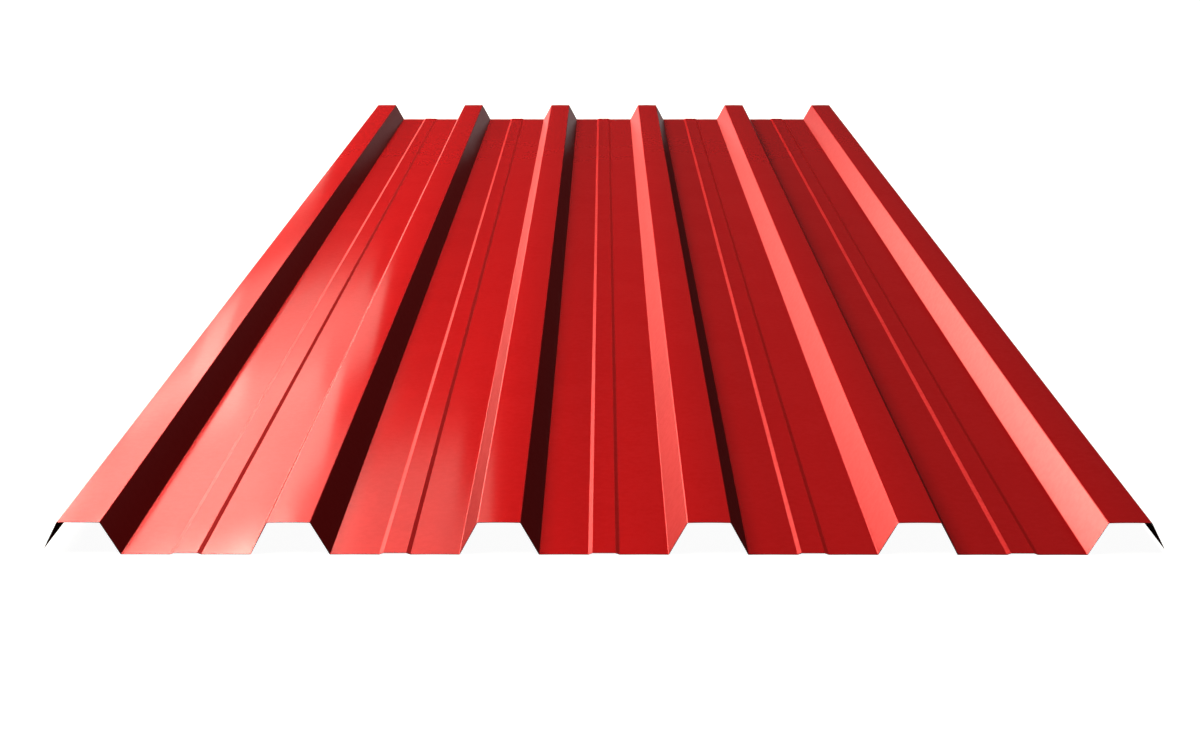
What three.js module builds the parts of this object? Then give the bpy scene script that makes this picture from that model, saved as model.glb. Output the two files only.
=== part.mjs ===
// Trapezoidal roofing and cladding sheet: one roll-formed, pre-painted steel sheet.
// Millimetres, +Z up. X runs across the ribs, Y along them. The sheet lies on its
// pans, whose undersides are at z = 0, and is centred on the origin in X and Y.

import * as THREE from 'three';

// Driving dimensions
const LENGTH = 2500; // along the ribs
const THICKNESS = 0.5; // coated steel
const RIB_COUNT = 6;
const RIB_PITCH = 200;
const CROWN_WIDTH = 41; // flat top of a rib, between the corners of its centreline
const RIB_DEPTH = 33; // pan centreline to crown centreline
const WEB_RUN = 17.5; // horizontal reach of a web
const EDGE_DROP = 26.5; // the outer webs stop this far below the crown
const RIB_BEND = 3; // centreline radius of the rib bends
const SWAGE_BASE = 30; // stiffener pressed up in the middle of every pan
const SWAGE_TOP = 22;
const SWAGE_DEPTH = 1.5;
const SWAGE_BEND = 4; // centreline radius of the stiffener bends
const BEND_DETAIL = 3; // curve segments asked for on each bend

const PAN_LEVEL = THICKNESS / 2; // height of the pan's centreline
const CROWN_LEVEL = PAN_LEVEL + RIB_DEPTH;
const FIRST_RIB_X = (-(RIB_COUNT - 1) * RIB_PITCH) / 2;

// Faces of the sheet, by the side of its centreline that they are on
const UPPER = 1;
const LOWER = -1;

function corner(x, y, radius) {
  return { at: new THREE.Vector2(x, y), radius };
}

// Corners of one rib's centreline, left to right. An outer web ends short, as a free edge.
function ribCorners(centre, isFirst, isLast) {
  const halfCrown = CROWN_WIDTH / 2;
  const edgeRun = (WEB_RUN * EDGE_DROP) / RIB_DEPTH;
  const foot = (ends) => halfCrown + (ends ? edgeRun : WEB_RUN);
  const footLevel = (ends) => (ends ? CROWN_LEVEL - EDGE_DROP : PAN_LEVEL);
  return [
    corner(centre - foot(isFirst), footLevel(isFirst), RIB_BEND),
    corner(centre - halfCrown, CROWN_LEVEL, RIB_BEND),
    corner(centre + halfCrown, CROWN_LEVEL, RIB_BEND),
    corner(centre + foot(isLast), footLevel(isLast), RIB_BEND),
  ];
}

// Corners of the stiffener in the pan around this centre.
function swageCorners(centre) {
  return [
    corner(centre - SWAGE_BASE / 2, PAN_LEVEL, SWAGE_BEND),
    corner(centre - SWAGE_TOP / 2, PAN_LEVEL + SWAGE_DEPTH, SWAGE_BEND),
    corner(centre + SWAGE_TOP / 2, PAN_LEVEL + SWAGE_DEPTH, SWAGE_BEND),
    corner(centre + SWAGE_BASE / 2, PAN_LEVEL, SWAGE_BEND),
  ];
}

function centrelineCorners() {
  const corners = [];
  for (let i = 0; i < RIB_COUNT; i += 1) {
    const ribX = FIRST_RIB_X + i * RIB_PITCH;
    const isLast = i === RIB_COUNT - 1;
    corners.push(...ribCorners(ribX, i === 0, isLast));
    if (!isLast) {
      corners.push(...swageCorners(ribX + RIB_PITCH / 2));
    }
  }
  return corners;
}

// Draws the bend at one corner on one face of the sheet, as an arc that is tangent to
// the flats before and after it.
function drawBend(outline, before, bend, after, side) {
  const into = bend.at.clone().sub(before.at).normalize();
  const outOf = after.at.clone().sub(bend.at).normalize();
  const turn = Math.atan2(into.cross(outOf), into.dot(outOf));
  const left = Math.sign(turn);
  const normal = new THREE.Vector2(-into.y, into.x);
  const tangentLength = bend.radius * Math.tan(Math.abs(turn) / 2);
  const centre = bend.at
    .clone()
    .addScaledVector(into, -tangentLength)
    .addScaledVector(normal, left * bend.radius);
  const faceRadius = bend.radius - left * side * (THICKNESS / 2);
  const startAngle = Math.atan2(-left * normal.y, -left * normal.x);
  const endAngle = startAngle + turn;
  const clockwise = turn < 0;
  if (side === UPPER) {
    outline.absarc(centre.x, centre.y, faceRadius, startAngle, endAngle, clockwise);
  } else {
    outline.absarc(centre.x, centre.y, faceRadius, endAngle, startAngle, !clockwise);
  }
}

// One corner of a free edge of the sheet, on its upper or lower face. The centreline
// ends at end and runs from there towards next.
function freeEdgeCorner(end, next, side) {
  const along = next.at.clone().sub(end.at).normalize();
  const upward = new THREE.Vector2(-along.y, along.x).multiplyScalar(Math.sign(along.x));
  return end.at.clone().addScaledVector(upward, side * (THICKNESS / 2));
}

// The sheet's cross-section: up the left free edge, out along the upper face, down the
// right free edge and back along the lower face.
function sectionShape(corners) {
  const last = corners.length - 1;
  const leftCorner = (side) => freeEdgeCorner(corners[0], corners[1], side);
  const rightCorner = (side) => freeEdgeCorner(corners[last], corners[last - 1], side);
  const outline = new THREE.Shape([leftCorner(LOWER), leftCorner(UPPER)]);
  for (let i = 1; i < last; i += 1) {
    drawBend(outline, corners[i - 1], corners[i], corners[i + 1], UPPER);
  }
  for (const side of [UPPER, LOWER]) {
    const edge = rightCorner(side);
    outline.lineTo(edge.x, edge.y);
  }
  for (let i = last - 1; i > 0; i -= 1) {
    drawBend(outline, corners[i - 1], corners[i], corners[i + 1], LOWER);
  }
  outline.closePath();
  return outline;
}

const redPaint = new THREE.MeshStandardMaterial({
  color: 0xbe191e,
  roughness: 0.4,
  metalness: 0.1,
});

const sheetGeometry = new THREE.ExtrudeGeometry(sectionShape(centrelineCorners()), {
  depth: LENGTH,
  bevelEnabled: false,
  curveSegments: BEND_DETAIL,
});

const sheet = new THREE.Mesh(sheetGeometry, redPaint);
sheet.name = 'profiled_sheet';
sheet.rotation.x = Math.PI / 2; // the section's height becomes Z, its extrusion Y
sheet.position.y = LENGTH / 2;

const group = new THREE.Group();
group.add(sheet);

export default group;
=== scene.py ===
"""Looks of a trapezoidal roofing and cladding sheet: one roll-formed, coil-coated steel sheet.

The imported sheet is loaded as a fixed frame. A finer sheet is rolled around it, with
rounded bends, its own gauge, cambered crowns and the slight unevenness of real pans.
X runs across the ribs, Y along them and Z up from the pans. Lengths are in metres.
"""

import math

import bmesh
import bpy
from bpy.props import FloatProperty, FloatVectorProperty, IntProperty, PointerProperty
from mathutils import Euler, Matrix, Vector, noise


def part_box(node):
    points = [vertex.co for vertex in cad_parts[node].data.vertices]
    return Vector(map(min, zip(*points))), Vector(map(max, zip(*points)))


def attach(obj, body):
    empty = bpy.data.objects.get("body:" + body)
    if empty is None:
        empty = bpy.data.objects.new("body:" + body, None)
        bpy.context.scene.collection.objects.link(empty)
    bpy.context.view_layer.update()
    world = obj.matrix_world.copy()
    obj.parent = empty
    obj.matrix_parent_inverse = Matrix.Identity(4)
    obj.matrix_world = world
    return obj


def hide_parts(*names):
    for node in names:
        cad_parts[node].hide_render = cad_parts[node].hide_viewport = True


bl_info = {
    "name": "Profiled sheet",
    "version": (1, 0, 0),
    "blender": (4, 5, 0),
    "location": "3D View > Sidebar > Sheet",
    "description": "Rolls, paints and lights a trapezoidal roofing sheet",
    "category": "Object",
}

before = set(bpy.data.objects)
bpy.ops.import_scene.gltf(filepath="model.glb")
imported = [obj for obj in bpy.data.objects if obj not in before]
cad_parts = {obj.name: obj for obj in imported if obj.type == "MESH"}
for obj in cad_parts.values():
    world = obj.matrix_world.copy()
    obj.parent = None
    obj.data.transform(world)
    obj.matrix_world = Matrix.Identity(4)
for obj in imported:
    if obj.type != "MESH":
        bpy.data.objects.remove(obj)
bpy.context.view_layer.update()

NODE = "profiled_sheet"
BODY = "root"
LOW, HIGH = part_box(NODE)
MM = 0.001

# Material slots of the finished sheet: its flats, webs and bends on top, then the same
# three below, then at the cut edges
FLAT, WEB, BEND = range(3)
BACK, CUT = 3, 6

# Faces whose normal rises less than the first are webs, less than the second the slopes of
# a stiffener
WEB_RISE = 0.7
SWAGE_RISE = 0.985

# Least and greatest turn of the section at a fold of a rib and of a stiffener. Where it
# turns less than the last of these, it runs straight on.
RIB_TURNS = (math.radians(40), math.radians(90))
SWAGE_TURNS = (math.radians(15), math.radians(40))
STRAIGHT_TURN = math.radians(1)

# Faces across a rounded bend
RIB_SEGMENTS = 7
SWAGE_SEGMENTS = 4

# Flats wider than the first are split into columns of about the second
WIDE_FLAT = 10 * MM
COLUMN_WIDTH = 6 * MM

# Corners nearer than the first are one, and those nearer a cut than the second lie on it
MERGE_DISTANCE = 0.01 * MM
CUT_TOLERANCE = 0.001 * MM

# Scales of the finer patterns, as multiples of the scale of the coarser ones
FINE_PEEL = 2.7
FINE_CLOUD = 24.0
FINE_TRACKS = 9.0

# The flats' uneven rise has about this many long and short waves a metre
LONG_WAVES = 2.4
SHORT_WAVES = 6.0

# The top coat on the flats, webs and bends, with the roughness and the refractive index of
# its clear film
TOP_COATS = (
    ("red_top_coat", 0.12, 1.5),
    ("red_top_coat_webs", 0.29, 1.5),
    ("red_top_coat_bends", 0.42, 1.2),
)

# Roughness of the top coat where it is thin and where it is thick, how fully the film
# covers it where it is whole and where it is worn, and the flakes' colour at a glancing angle
FLAKE_ROUGHNESS = (0.495, 0.535)
FILM_COVER = (1.0, 0.93)
FLAKE_TINT = (1.0, 0.05, 0.05, 1.0)

# Roughness of the back coat off and on a roll mark, and of the least and the most torn steel
BACK_ROUGHNESS = (0.62, 0.5)
STEEL_ROUGHNESS = (0.38, 0.62)

# Heights of the roll marks, the orange peel and the torn grain
TOP_MARKS = 0.01 * MM
TOP_PEEL = 0.008 * MM
BACK_MARKS = 0.03 * MM
BACK_PEEL = 0.03 * MM
STEEL_GRAIN = 0.05 * MM

# Colour sockets of a Mix node, which share their labels with its number sockets
MIX_FIRST, MIX_SECOND, MIX_RESULT = 6, 7, 2

# Camera sensor in millimetres, and the floor's reach on each side in metres
SENSOR_WIDTH = 36.0
FLOOR_REACH = 60.0

# Soft lamps above the sheet, behind it and to its left: name, place, width and height,
# radiance. The low ones show in the webs that face left, the dim ones as the haze on the
# flats. They were found by a search, and rounded.
LAMPS = (
    ("overhead", (-3.6, 0.6, 8.0), (8.0, 7.0), 7.0),
    ("left_glow", (-1.72, 2.6, 2.66), (1.73, 1.4), 19.3),
    ("haze_wide", (-1.17, 2.9, 1.92), (1.55, 0.8), 0.63),
    ("haze_middle", (-1.58, 3.3, 1.57), (1.2, 0.46), 1.43),
    ("haze_low", (-1.14, 3.3, 1.15), (0.68, 0.38), 0.76),
    ("haze_side", (-1.65, 3.6, 1.37), (0.53, 0.4), 1.33),
    ("low_far", (-3.7, 6.05, 1.08), (1.7, 0.5), 28.6),
    ("low_tile", (-1.5, 4.8, 0.54), (0.48, 0.26), 9.6),
    ("low_left", (-2.35, 1.45, 0.87), (2.1, 0.63), 26.6),
)

# Strength of the even light from all round
WORLD_LIGHT = 0.027

# A lamp counts only on light paths shallower than this, so that the sheet's faces don't pass
# its light on to each other
DIRECT_DEPTH = 2.5


# ---------------------------------------------------------------- settings


class SheetSizes(bpy.types.PropertyGroup):
    """Section and length of the sheet."""

    length: FloatProperty(
        name="Length",
        description="Cut length along the ribs",
        default=HIGH.y - LOW.y,
        unit="LENGTH",
    )
    thickness: FloatProperty(
        name="Gauge",
        description="Thickness of the coated steel",
        default=0.5 * MM,
        unit="LENGTH",
    )
    height: FloatProperty(
        name="Overall height",
        description="From the underside of the pans to the top of the crowns",
        default=HIGH.z - LOW.z,
        unit="LENGTH",
    )
    rib_count: IntProperty(name="Ribs", description="Number of ribs", default=6, min=2)
    pitch: FloatProperty(
        name="Pitch",
        description="Distance between the middles of two ribs",
        default=200 * MM,
        unit="LENGTH",
    )
    crown_width: FloatProperty(
        name="Crown width",
        description="Flat top of a rib, between the corners of its centreline",
        default=41 * MM,
        unit="LENGTH",
    )
    web_run: FloatProperty(
        name="Web run",
        description="Horizontal reach of a sloping web",
        default=17.5 * MM,
        unit="LENGTH",
    )
    edge_drop: FloatProperty(
        name="Edge drop",
        description="How far below the crown the outer webs stop",
        default=26.5 * MM,
        unit="LENGTH",
    )
    rib_bend: FloatProperty(
        name="Rib bend radius",
        description="Centreline radius of the bends beside the crowns and pans",
        default=1.0 * MM,
        unit="LENGTH",
    )
    swage_base: FloatProperty(
        name="Stiffener base",
        description="Width of the stiffener in each pan at its foot",
        default=30 * MM,
        unit="LENGTH",
    )
    swage_top: FloatProperty(
        name="Stiffener top",
        description="Width of the stiffener's raised flat",
        default=22 * MM,
        unit="LENGTH",
    )
    swage_depth: FloatProperty(
        name="Stiffener height",
        description="How far the stiffener is pressed up",
        default=1.5 * MM,
        unit="LENGTH",
    )
    swage_bend: FloatProperty(
        name="Stiffener bend radius",
        description="Centreline radius of the stiffener's bends",
        default=1.0 * MM,
        unit="LENGTH",
    )
    crown_camber: FloatProperty(
        name="Crown camber",
        description="How much lower a crown's sides are than its middle",
        default=0.35 * MM,
        unit="LENGTH",
    )
    slack: FloatProperty(
        name="Slack",
        description="Greatest rise of the thin flats out of their plane",
        default=0.22 * MM,
        unit="LENGTH",
    )
    rows: IntProperty(
        name="Rows",
        description="Faces along the sheet",
        default=56,
        min=1,
    )


class SheetFinish(bpy.types.PropertyGroup):
    """Colours of the coil coating and the cut edge."""

    top: FloatVectorProperty(
        name="Top coat",
        description="Red of the weather side",
        subtype="COLOR",
        size=3,
        min=0,
        max=1,
        default=(0.41, 0.0075, 0.0090),
    )
    top_deep: FloatVectorProperty(
        name="Top coat, deeper",
        description="Red of the weather side where the coat is a little thicker",
        subtype="COLOR",
        size=3,
        min=0,
        max=1,
        default=(0.37, 0.0062, 0.0078),
    )
    flake_share: FloatProperty(
        name="Flakes",
        description="How much of the top coat is fine metal flake",
        default=0.62,
        min=0,
        max=1,
        subtype="FACTOR",
    )
    back: FloatVectorProperty(
        name="Back coat",
        description="Matt red of the underside",
        subtype="COLOR",
        size=3,
        min=0,
        max=1,
        default=(0.30, 0.008, 0.010),
    )
    steel: FloatVectorProperty(
        name="Cut edge",
        description="Zinc and bare steel where the sheet was sheared",
        subtype="COLOR",
        size=3,
        min=0,
        max=1,
        default=(0.11, 0.03, 0.03),
    )


class SheetStage(bpy.types.PropertyGroup):
    """Camera, lamps and floor."""

    lens: FloatProperty(
        name="Lens",
        description="Focal length on a 36 mm wide sensor, in millimetres",
        default=52.57,
    )
    camera_side: FloatProperty(
        name="Camera offset",
        description="To the right of the sheet's middle",
        default=-0.9 * MM,
        unit="LENGTH",
    )
    camera_height: FloatProperty(
        name="Camera height",
        description="Above the floor",
        default=0.675,
        unit="LENGTH",
    )
    camera_distance: FloatProperty(
        name="Camera distance",
        description="In front of the sheet's front edge",
        default=1.5424,
        unit="LENGTH",
    )
    camera_pitch: FloatProperty(
        name="Camera pitch",
        description="How far the camera looks down",
        default=math.radians(17.764),
        subtype="ANGLE",
    )
    camera_yaw: FloatProperty(
        name="Camera yaw",
        description="How far the camera turns to the left",
        default=math.radians(0.107),
        subtype="ANGLE",
    )
    lamp_colour: FloatVectorProperty(
        name="Lamps",
        description="Warm white of the lamps",
        subtype="COLOR",
        size=3,
        min=0,
        max=1,
        default=(1.0, 0.95, 0.80),
    )
    floor_colour: FloatVectorProperty(
        name="Floor",
        description="Colour of the plain pale floor",
        subtype="COLOR",
        size=3,
        min=0,
        max=1,
        default=(0.3, 0.3, 0.3),
    )
    floor_seen: FloatProperty(
        name="Floor seen",
        description="How white the floor looks to the camera before the lamps light it",
        default=0.96,
        min=0,
    )
    floor_mirrored: FloatProperty(
        name="Floor in reflections",
        description="How white the floor looks where the sheet mirrors it",
        default=0.35,
        min=0,
    )
    floor_gap: FloatProperty(
        name="Floor gap",
        description="How far the floor lies below the pans",
        default=0.2 * MM,
        unit="LENGTH",
    )


# ---------------------------------------------------------------- shader helpers


def new_group(name, inputs, outputs):
    """An empty shader node group with float or vector inputs and typed outputs."""
    group = bpy.data.node_groups.new(name, "ShaderNodeTree")
    for label, kind, value in inputs:
        socket = group.interface.new_socket(label, in_out="INPUT", socket_type=kind)
        if value is not None:
            socket.default_value = value
    for label, kind in outputs:
        group.interface.new_socket(label, in_out="OUTPUT", socket_type=kind)
    return group


def add_node(tree, kind, **values):
    """A node of this kind. Values go to its properties, or to its sockets by label."""
    node = tree.nodes.new(kind)
    for key, value in values.items():
        if hasattr(node, key):
            setattr(node, key, value)
        else:
            node.inputs[key.replace("_", " ")].default_value = value
    return node


def feed(tree, slot, value):
    """Gives an input socket another socket's value, or a number or colour of its own."""
    if isinstance(value, bpy.types.NodeSocket):
        tree.links.new(value, slot)
    else:
        slot.default_value = value


def stretched(tree, vector, scale):
    """The vector with its axes scaled, for patterns that run along the sheet."""
    mapping = add_node(tree, "ShaderNodeMapping", vector_type="POINT", Scale=scale)
    tree.links.new(vector, mapping.inputs["Vector"])
    return mapping.outputs["Vector"]


def remap(tree, value, low, high, to_low=0.0, to_high=1.0):
    """The value eased from one range to another."""
    node = add_node(
        tree,
        "ShaderNodeMapRange",
        interpolation_type="SMOOTHSTEP",
        From_Min=low,
        From_Max=high,
        To_Min=to_low,
        To_Max=to_high,
    )
    tree.links.new(value, node.inputs["Value"])
    return node.outputs["Result"]


def combine(tree, operation, first, second):
    """A Math node of two inputs, each a socket or a number."""
    node = add_node(tree, "ShaderNodeMath", operation=operation)
    feed(tree, node.inputs[0], first)
    feed(tree, node.inputs[1], second)
    return node.outputs["Value"]


def noise_factor(tree, vector, scale, detail, roughness):
    """Fractal noise, with its scale a socket or a number of cells a metre."""
    node = add_node(tree, "ShaderNodeTexNoise", Detail=detail, Roughness=roughness)
    tree.links.new(vector, node.inputs["Vector"])
    feed(tree, node.inputs["Scale"], scale)
    return node.outputs["Fac"]


# ---------------------------------------------------------------- shader groups


def coat_texture_group():
    """Surface of a roller-applied coil coat: its orange peel, its clouds and their mottle."""
    group = new_group(
        "coat_texture",
        [
            ("Vector", "NodeSocketVector", None),
            ("Peel Scale", "NodeSocketFloat", 420.0),
            ("Cloud Scale", "NodeSocketFloat", 5.0),
        ],
        [
            ("Height", "NodeSocketFloat"),
            ("Cloud", "NodeSocketFloat"),
            ("Mottle", "NodeSocketFloat"),
        ],
    )
    start = add_node(group, "NodeGroupInput").outputs
    end = add_node(group, "NodeGroupOutput").inputs
    vector = start["Vector"]
    fine_scale = combine(group, "MULTIPLY", start["Peel Scale"], FINE_PEEL)
    coarse = noise_factor(group, vector, start["Peel Scale"], detail=2.0, roughness=0.55)
    fine = noise_factor(group, vector, fine_scale, detail=1.0, roughness=0.5)
    fine_part = combine(group, "MULTIPLY", fine, 0.35)
    height = combine(group, "ADD", coarse, fine_part)
    group.links.new(height, end["Height"])
    cloud = noise_factor(group, vector, start["Cloud Scale"], detail=3.0, roughness=0.55)
    group.links.new(remap(group, cloud, 0.35, 0.65), end["Cloud"])
    flock_scale = combine(group, "MULTIPLY", start["Cloud Scale"], FINE_CLOUD)
    flock = noise_factor(group, vector, flock_scale, detail=4.0, roughness=0.7)
    group.links.new(remap(group, flock, 0.36, 0.64), end["Mottle"])
    return group


def roll_marks_group():
    """Faint straight tracks that the forming rolls leave along the sheet."""
    group = new_group(
        "roll_marks",
        [
            ("Vector", "NodeSocketVector", None),
            ("Spacing Scale", "NodeSocketFloat", 90.0),
        ],
        [("Height", "NodeSocketFloat"), ("Track", "NodeSocketFloat")],
    )
    start = add_node(group, "NodeGroupInput").outputs
    end = add_node(group, "NodeGroupOutput").inputs
    drawn_out = stretched(group, start["Vector"], (1.0, 0.012, 1.0))
    wide = noise_factor(group, drawn_out, start["Spacing Scale"], detail=2.0, roughness=0.6)
    narrow_scale = combine(group, "MULTIPLY", start["Spacing Scale"], FINE_TRACKS)
    narrow = noise_factor(group, drawn_out, narrow_scale, detail=3.0, roughness=0.65)
    broken = noise_factor(group, start["Vector"], 7.0, detail=2.0, roughness=0.5)
    presence = remap(group, broken, 0.42, 0.62, to_low=0.15)
    track = combine(group, "MULTIPLY", remap(group, narrow, 0.60, 0.74), presence)
    group.links.new(track, end["Track"])
    sunk = combine(group, "MULTIPLY", track, -0.4)
    height = combine(group, "ADD", wide, sunk)
    group.links.new(height, end["Height"])
    return group


# ---------------------------------------------------------------- materials


def new_material(name):
    """A node material with its Principled shader and the Object coordinates."""
    material = bpy.data.materials.new(name)
    material.use_nodes = True
    tree = material.node_tree
    shader = tree.nodes["Principled BSDF"]
    coordinates = add_node(tree, "ShaderNodeTexCoord")
    return material, tree, shader, coordinates.outputs["Object"]


def place_group(tree, group, vector, **values):
    """What the group puts out in a material, where it is fed with these coordinates."""
    node = add_node(tree, "ShaderNodeGroup", node_tree=group)
    tree.links.new(vector, node.inputs["Vector"])
    for key, value in values.items():
        node.inputs[key.replace("_", " ")].default_value = value
    return node.outputs


def mix_colour(tree, factor, first, second):
    """A colour between two RGB triples."""
    node = add_node(tree, "ShaderNodeMix", data_type="RGBA")
    tree.links.new(factor, node.inputs["Factor"])
    node.inputs[MIX_FIRST].default_value = (*first, 1.0)
    node.inputs[MIX_SECOND].default_value = (*second, 1.0)
    return node.outputs[MIX_RESULT]


def darkened(colour, share):
    """The RGB triple at this share of its brightness."""
    return tuple(share * part for part in colour)


def bump(tree, shader, layers):
    """Bumps the shader's normal by (height socket, metres) layers, one on the other."""
    normal = None
    for height, distance in layers:
        node = add_node(tree, "ShaderNodeBump", Strength=1.0, Distance=distance)
        tree.links.new(height, node.inputs["Height"])
        if normal is not None:
            tree.links.new(normal, node.inputs["Normal"])
        normal = node.outputs["Normal"]
    tree.links.new(normal, shader.inputs["Normal"])


def top_coat_material(name, film_roughness, film_ior, finish, coat_texture, roll_marks):
    """Semi-gloss red coil coat with fine flakes under a clear film, which bending dulls."""
    material, tree, shader, vector = new_material(name)
    texture = place_group(tree, coat_texture, vector)
    marks = place_group(tree, roll_marks, vector)
    patches = combine(tree, "ADD", texture["Cloud"], texture["Mottle"])
    depth = remap(tree, patches, 0.0, 2.0)
    colour = mix_colour(tree, depth, finish.top, finish.top_deep)
    tree.links.new(colour, shader.inputs["Base Color"])
    roughness = remap(tree, depth, 0.0, 1.0, *FLAKE_ROUGHNESS)
    tree.links.new(roughness, shader.inputs["Roughness"])
    worn = combine(tree, "MAXIMUM", marks["Track"], texture["Mottle"])
    film = remap(tree, worn, 0.0, 1.0, *FILM_COVER)
    tree.links.new(film, shader.inputs["Coat Weight"])
    shader.inputs["Metallic"].default_value = finish.flake_share
    shader.inputs["Specular IOR Level"].default_value = 0.0
    shader.inputs["Specular Tint"].default_value = FLAKE_TINT
    shader.inputs["Coat Roughness"].default_value = film_roughness
    shader.inputs["Coat IOR"].default_value = film_ior
    bump(tree, shader, [(marks["Height"], TOP_MARKS), (texture["Height"], TOP_PEEL)])
    return material


def back_coat_material(finish, coat_texture, roll_marks):
    """Thin matt red primer coat of the underside."""
    material, tree, shader, vector = new_material("red_back_coat")
    texture = place_group(tree, coat_texture, vector, Peel_Scale=300.0)
    marks = place_group(tree, roll_marks, vector, Spacing_Scale=70.0)
    colour = mix_colour(tree, texture["Cloud"], finish.back, darkened(finish.back, 0.8))
    tree.links.new(colour, shader.inputs["Base Color"])
    roughness = remap(tree, marks["Track"], 0.0, 1.0, *BACK_ROUGHNESS)
    tree.links.new(roughness, shader.inputs["Roughness"])
    shader.inputs["Specular IOR Level"].default_value = 0.0
    bump(tree, shader, [(marks["Height"], BACK_MARKS), (texture["Height"], BACK_PEEL)])
    return material


def cut_edge_material(finish, coat_texture):
    """Sheared zinc-coated steel, with a fine torn grain."""
    material, tree, shader, vector = new_material("sheared_edge")
    grain = place_group(tree, coat_texture, vector, Peel_Scale=2600.0)["Height"]
    colour = mix_colour(tree, grain, finish.steel, darkened(finish.steel, 0.55))
    tree.links.new(colour, shader.inputs["Base Color"])
    roughness = remap(tree, grain, 0.3, 1.0, *STEEL_ROUGHNESS)
    tree.links.new(roughness, shader.inputs["Roughness"])
    shader.inputs["Metallic"].default_value = 0.85
    bump(tree, shader, [(grain, STEEL_GRAIN)])
    return material


def floor_material(stage):
    """Plain pale floor, nearly white to the camera and dimmer where the sheet mirrors it."""
    material = bpy.data.materials.new("pale_floor")
    material.use_nodes = True
    tree = material.node_tree
    shader = tree.nodes["Principled BSDF"]
    shader.inputs["Base Color"].default_value = (*stage.floor_colour, 1.0)
    shader.inputs["Roughness"].default_value = 0.9
    shader.inputs["Specular IOR Level"].default_value = 0.0
    shader.inputs["Emission Color"].default_value = (1.0, 1.0, 1.0, 1.0)
    path = add_node(tree, "ShaderNodeLightPath").outputs
    mirrored = combine(tree, "MULTIPLY", path["Is Glossy Ray"], stage.floor_mirrored)
    in_view = combine(tree, "MAXIMUM", path["Is Camera Ray"], path["Is Transmission Ray"])
    seen = combine(tree, "MULTIPLY", in_view, stage.floor_seen)
    glow = combine(tree, "MAXIMUM", seen, mirrored)
    tree.links.new(glow, shader.inputs["Emission Strength"])
    return material


# ---------------------------------------------------------------- the sheet


def levels(sizes):
    """Heights of the centreline in the pans and at the sides of the crowns."""
    pan = sizes.thickness / 2
    crown = sizes.height - sizes.thickness / 2 - sizes.crown_camber
    return pan, crown


def half_pitch_corners(sizes):
    """Corners of the centreline from the middle of a pan to the middle of the rib at x = 0."""
    pan, crown = levels(sizes)
    half_crown = sizes.crown_width / 2
    raised = pan + sizes.swage_depth
    pan_middle = -sizes.pitch / 2
    return [
        (pan_middle, raised),
        (pan_middle + sizes.swage_top / 2, raised),
        (pan_middle + sizes.swage_base / 2, pan),
        (-half_crown - sizes.web_run, pan),
        (-half_crown, crown),
        (0.0, crown),
    ]


def draw_pitch(bm, sizes):
    """One whole pitch of the centreline at the sheet's front end, as edges."""
    front = -sizes.length / 2
    verts = [bm.verts.new((x, front, z)) for x, z in half_pitch_corners(sizes)]
    edges = [bm.edges.new(pair) for pair in zip(verts, verts[1:])]
    bmesh.ops.mirror(bm, geom=verts + edges, axis="X", merge_dist=MERGE_DISTANCE)


def repeat_pitches(bm, sizes):
    """Sets the pitch at every rib and joins them in the middle of the pans."""
    first = -(sizes.rib_count - 1) / 2 * sizes.pitch
    pitch = bm.verts[:] + bm.edges[:]
    for i in range(1, sizes.rib_count):
        copy = bmesh.ops.duplicate(bm, geom=pitch)["geom"]
        moved = [part for part in copy if isinstance(part, bmesh.types.BMVert)]
        bmesh.ops.translate(bm, verts=moved, vec=(i * sizes.pitch, 0, 0))
    bmesh.ops.translate(bm, verts=bm.verts, vec=(first, 0, 0))
    bmesh.ops.remove_doubles(bm, verts=bm.verts, dist=MERGE_DISTANCE)
    middles = [v for v in bm.verts if is_straight(v)]
    bmesh.ops.dissolve_verts(bm, verts=middles)


def is_straight(vert):
    """Whether the section runs straight on through this corner."""
    if len(vert.link_edges) != 2:
        return False
    ends = [edge.other_vert(vert).co for edge in vert.link_edges]
    first = (vert.co - ends[0]).normalized()
    second = (ends[1] - vert.co).normalized()
    return first.angle(second) < STRAIGHT_TURN


def draw_out(bm, sizes):
    """Extrudes the section to the sheet's length, with every face turned up."""
    grown = bmesh.ops.extrude_edge_only(bm, edges=bm.edges)["geom"]
    far = [part for part in grown if isinstance(part, bmesh.types.BMVert)]
    bmesh.ops.translate(bm, verts=far, vec=(0, sizes.length, 0))
    bmesh.ops.recalc_face_normals(bm, faces=bm.faces)
    if sum(face.normal.z for face in bm.faces) < 0:
        bmesh.ops.reverse_faces(bm, faces=bm.faces)


def trim_sides(bm, sizes):
    """Cuts the outer webs off square to their slope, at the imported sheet's side edges."""
    pan, crown = levels(sizes)
    rise = crown - pan
    share = sizes.edge_drop / (sizes.height - sizes.thickness)
    last_rib = (sizes.rib_count - 1) / 2 * sizes.pitch
    reach = last_rib + sizes.crown_width / 2 + share * sizes.web_run
    for side in (-1, 1):
        edge = (side * reach, 0, crown - share * rise)
        down_web = (side * sizes.web_run, 0, -rise)
        bmesh.ops.bisect_plane(
            bm,
            geom=bm.verts[:] + bm.edges[:] + bm.faces[:],
            dist=CUT_TOLERANCE,
            plane_co=edge,
            plane_no=down_web,
            clear_outer=True,
        )


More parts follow.
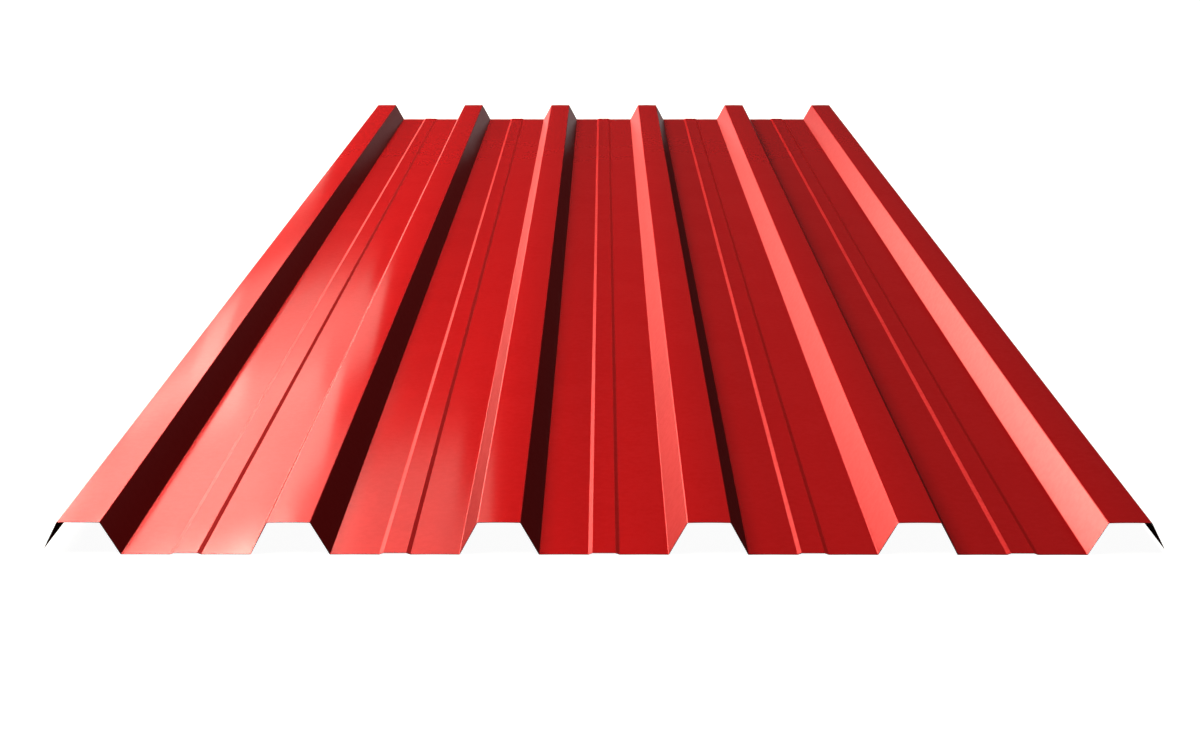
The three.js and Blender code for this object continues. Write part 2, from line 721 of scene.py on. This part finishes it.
def round_bends(bm, turns, radius, segments):
    """Rounds the folds whose turn lies between two angles, to a centreline radius."""
    least, greatest = turns
    folds = [
        edge
        for edge in bm.edges
        if len(edge.link_faces) == 2 and least < edge.calc_face_angle() <= greatest
    ]
    if not folds:
        raise RuntimeError("The section has no folds between these angles")
    turn = folds[0].calc_face_angle()
    rounded = bmesh.ops.bevel(
        bm,
        geom=folds,
        offset=radius * math.tan(turn / 2),
        offset_type="OFFSET",
        affect="EDGES",
        segments=segments,
        profile=0.5,
        material=-1,
        clamp_overlap=False,
    )
    for face in rounded["faces"]:
        face.material_index = BEND


def add_columns(bm):
    """Splits the wide flats of the section into columns."""
    by_count = {}
    for edge in bm.edges:
        across = abs(edge.verts[0].co.x - edge.verts[1].co.x)
        if across > WIDE_FLAT:
            by_count.setdefault(round(across / COLUMN_WIDTH), []).append(edge)
    for count, edges in by_count.items():
        bmesh.ops.subdivide_edges(bm, edges=edges, cuts=max(count - 1, 1), use_grid_fill=True)


def add_rows(bm, sizes):
    """Splits the sheet into rows along its length."""
    long_edges = [e for e in bm.edges if e.calc_length() > sizes.length / 2]
    bmesh.ops.subdivide_edges(bm, edges=long_edges, cuts=sizes.rows - 1, use_grid_fill=True)


def place_in_pitch(x, sizes):
    """Distance of x from the middle of its rib, with the rib's number."""
    first = -(sizes.rib_count - 1) / 2 * sizes.pitch
    number = round((x - first) / sizes.pitch)
    return x - first - number * sizes.pitch, number


def swell(share):
    """Rises from 0 at share -1 and 1 to 1 in the middle, flat at its ends."""
    return (1 - share * share) ** 2 if abs(share) < 1 else 0.0


def unevenness(number, side, along):
    """A smooth value from 0 to 1 along a flat, unlike that of the other flats because its
    place in the noise is moved by uneven steps from rib to rib and side to side."""
    long_wave = noise.noise(Vector((number * 7.3, side * 2.1, along * LONG_WAVES)))
    short_wave = noise.noise(Vector((number * 3.1, side * 5.7, along * SHORT_WAVES)))
    return min(max(0.5 + 0.6 * (long_wave + 0.5 * short_wave), 0.0), 1.0)


def ease_flats(bm, sizes):
    """Cambers the crowns and lets the thin flats rise a little, unevenly, from their plane."""
    half_crown = sizes.crown_width / 2
    foot = half_crown + sizes.web_run
    swage_side = sizes.pitch / 2 - sizes.swage_base / 2
    flat_middle = (foot + swage_side) / 2
    flat_half = (swage_side - foot) / 2
    for vert in bm.verts:
        offset, number = place_in_pitch(vert.co.x, sizes)
        side = math.copysign(1, offset)
        distance = abs(offset)
        if distance < half_crown:
            share = offset / half_crown
            vert.co.z += sizes.crown_camber * (1 - share * share)
        elif distance > foot:
            lift = unevenness(number, side, vert.co.y)
            vert.co.z += sizes.slack * lift * swell((distance - flat_middle) / flat_half)


def mark_faces(bm):
    """Tells the webs and stiffener slopes from the flats, and keeps the sheared edges crisp."""
    for edge in bm.edges:
        if len(edge.link_faces) == 1:
            edge.smooth = False
    for face in bm.faces:
        face.smooth = True
        if face.material_index == FLAT and face.normal.z < SWAGE_RISE:
            face.material_index = WEB if face.normal.z < WEB_RISE else BEND


def sheet_mesh(sizes):
    """The sheet's middle surface, as a mesh with its top facing up."""
    bm = bmesh.new()
    draw_pitch(bm, sizes)
    repeat_pitches(bm, sizes)
    draw_out(bm, sizes)
    trim_sides(bm, sizes)
    round_bends(bm, RIB_TURNS, sizes.rib_bend, RIB_SEGMENTS)
    round_bends(bm, SWAGE_TURNS, sizes.swage_bend, SWAGE_SEGMENTS)
    add_columns(bm)
    add_rows(bm, sizes)
    ease_flats(bm, sizes)
    bm.normal_update()
    mark_faces(bm)
    mesh = bpy.data.meshes.new("painted_sheet")
    bm.to_mesh(mesh)
    bm.free()
    return mesh


def give_gauge(sheet, sizes):
    """Thickens the middle surface both ways, with the back coat below and steel at the edges."""
    gauge = sheet.modifiers.new("gauge", "SOLIDIFY")
    gauge.thickness = sizes.thickness
    gauge.offset = 0.0
    gauge.use_even_offset = True
    gauge.material_offset = BACK
    gauge.material_offset_rim = CUT


def shade_flats_flat(sheet):
    """Lets the wide flats set the shading normals beside each bend."""
    shading = sheet.modifiers.new("shading", "WEIGHTED_NORMAL")
    shading.mode = "FACE_AREA"
    shading.keep_sharp = True


# ---------------------------------------------------------------- stage


def light_directly(lamp):
    """Keeps a lamp's light to what it shines on, so that the shaded webs stay dark."""
    lamp.cycles.max_bounces = 0
    lamp.use_nodes = True
    tree = lamp.node_tree
    path = add_node(tree, "ShaderNodeLightPath")
    direct = combine(tree, "LESS_THAN", path.outputs["Ray Depth"], DIRECT_DEPTH)
    tree.links.new(direct, tree.nodes["Emission"].inputs["Strength"])


def add_soft_lamp(name, place, size, radiance, colour):
    """A rectangular soft lamp that faces the sheet's middle and isn't seen itself."""
    lamp = bpy.data.lights.new(name, "AREA")
    lamp.shape = "RECTANGLE"
    lamp.size, lamp.size_y = size
    lamp.energy = radiance * math.pi * size[0] * size[1]
    lamp.color = colour
    light_directly(lamp)
    light = bpy.data.objects.new(name, lamp)
    light.location = place
    light.rotation_euler = Vector(place).to_track_quat("Z", "Y").to_euler()
    light.visible_camera = False
    bpy.context.scene.collection.objects.link(light)


def add_floor(stage):
    """Plain floor just under the pans."""
    bm = bmesh.new()
    bmesh.ops.create_grid(bm, x_segments=1, y_segments=1, size=FLOOR_REACH)
    bmesh.ops.translate(bm, verts=bm.verts, vec=(0, 0, LOW.z - stage.floor_gap))
    mesh = bpy.data.meshes.new("floor")
    bm.to_mesh(mesh)
    bm.free()
    floor = bpy.data.objects.new("floor", mesh)
    bpy.context.scene.collection.objects.link(floor)
    mesh.materials.append(floor_material(stage))
    return floor


def set_world():
    """Dim surround, so that the lamps shape the reflections."""
    world = bpy.data.worlds.new("surround")
    world.use_nodes = True
    background = world.node_tree.nodes["Background"]
    background.inputs["Color"].default_value = (1.0, 1.0, 1.0, 1.0)
    background.inputs["Strength"].default_value = WORLD_LIGHT
    bpy.context.scene.world = world


def add_camera(stage):
    """Camera in front of the sheet, looking down along the ribs."""
    camera = bpy.data.objects.new("camera", bpy.data.cameras.new("camera"))
    camera.data.sensor_width = SENSOR_WIDTH
    camera.data.lens = stage.lens
    front = LOW.y - stage.camera_distance
    camera.location = (stage.camera_side, front, stage.camera_height)
    camera.rotation_euler = Euler((math.pi / 2 - stage.camera_pitch, 0, stage.camera_yaw))
    bpy.context.scene.collection.objects.link(camera)
    bpy.context.scene.camera = camera


# ---------------------------------------------------------------- operators


class SHEET_OT_roll(bpy.types.Operator):
    """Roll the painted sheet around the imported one"""

    bl_idname = "sheet.roll"
    bl_label = "Roll the sheet"

    def execute(self, context):
        sizes = context.scene.sheet_sizes
        finish = context.scene.sheet_finish
        sheet = bpy.data.objects.new("painted_sheet", sheet_mesh(sizes))
        context.scene.collection.objects.link(sheet)
        give_gauge(sheet, sizes)
        shade_flats_flat(sheet)
        texture = coat_texture_group()
        marks = roll_marks_group()
        top = [top_coat_material(*coat, finish, texture, marks) for coat in TOP_COATS]
        back = back_coat_material(finish, texture, marks)
        edge = cut_edge_material(finish, texture)
        for material in top + len(top) * [back] + len(top) * [edge]:
            sheet.data.materials.append(material)
        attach(sheet, BODY)
        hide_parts(NODE)
        return {"FINISHED"}


class SHEET_OT_stage(bpy.types.Operator):
    """Set up the floor, the lamps and the camera"""

    bl_idname = "sheet.stage"
    bl_label = "Set the stage"

    def execute(self, context):
        stage = context.scene.sheet_stage
        add_floor(stage)
        set_world()
        for name, place, size, radiance in LAMPS:
            add_soft_lamp(name, place, size, radiance, stage.lamp_colour)
        add_camera(stage)
        context.scene.view_settings.view_transform = "Standard"
        return {"FINISHED"}


class SHEET_PT_sidebar(bpy.types.Panel):
    """Sizes, colours and steps of the sheet"""

    bl_idname = "SHEET_PT_sidebar"
    bl_label = "Profiled sheet"
    bl_space_type = "VIEW_3D"
    bl_region_type = "UI"
    bl_category = "Sheet"

    def draw(self, context):
        scene = context.scene
        for settings in (scene.sheet_sizes, scene.sheet_finish, scene.sheet_stage):
            box = self.layout.box()
            for name in type(settings).__annotations__:
                box.prop(settings, name)
        for operator in (SHEET_OT_roll, SHEET_OT_stage):
            self.layout.operator(operator.bl_idname)


CLASSES = (SheetSizes, SheetFinish, SheetStage, SHEET_OT_roll, SHEET_OT_stage, SHEET_PT_sidebar)


def register():
    for cls in CLASSES:
        bpy.utils.register_class(cls)
    bpy.types.Scene.sheet_sizes = PointerProperty(type=SheetSizes)
    bpy.types.Scene.sheet_finish = PointerProperty(type=SheetFinish)
    bpy.types.Scene.sheet_stage = PointerProperty(type=SheetStage)


def unregister():
    del bpy.types.Scene.sheet_stage
    del bpy.types.Scene.sheet_finish
    del bpy.types.Scene.sheet_sizes
    for cls in reversed(CLASSES):
        bpy.utils.unregister_class(cls)


def main():
    register()
    bpy.ops.sheet.roll()
    bpy.ops.sheet.stage()


if __name__ == "__main__":
    main()
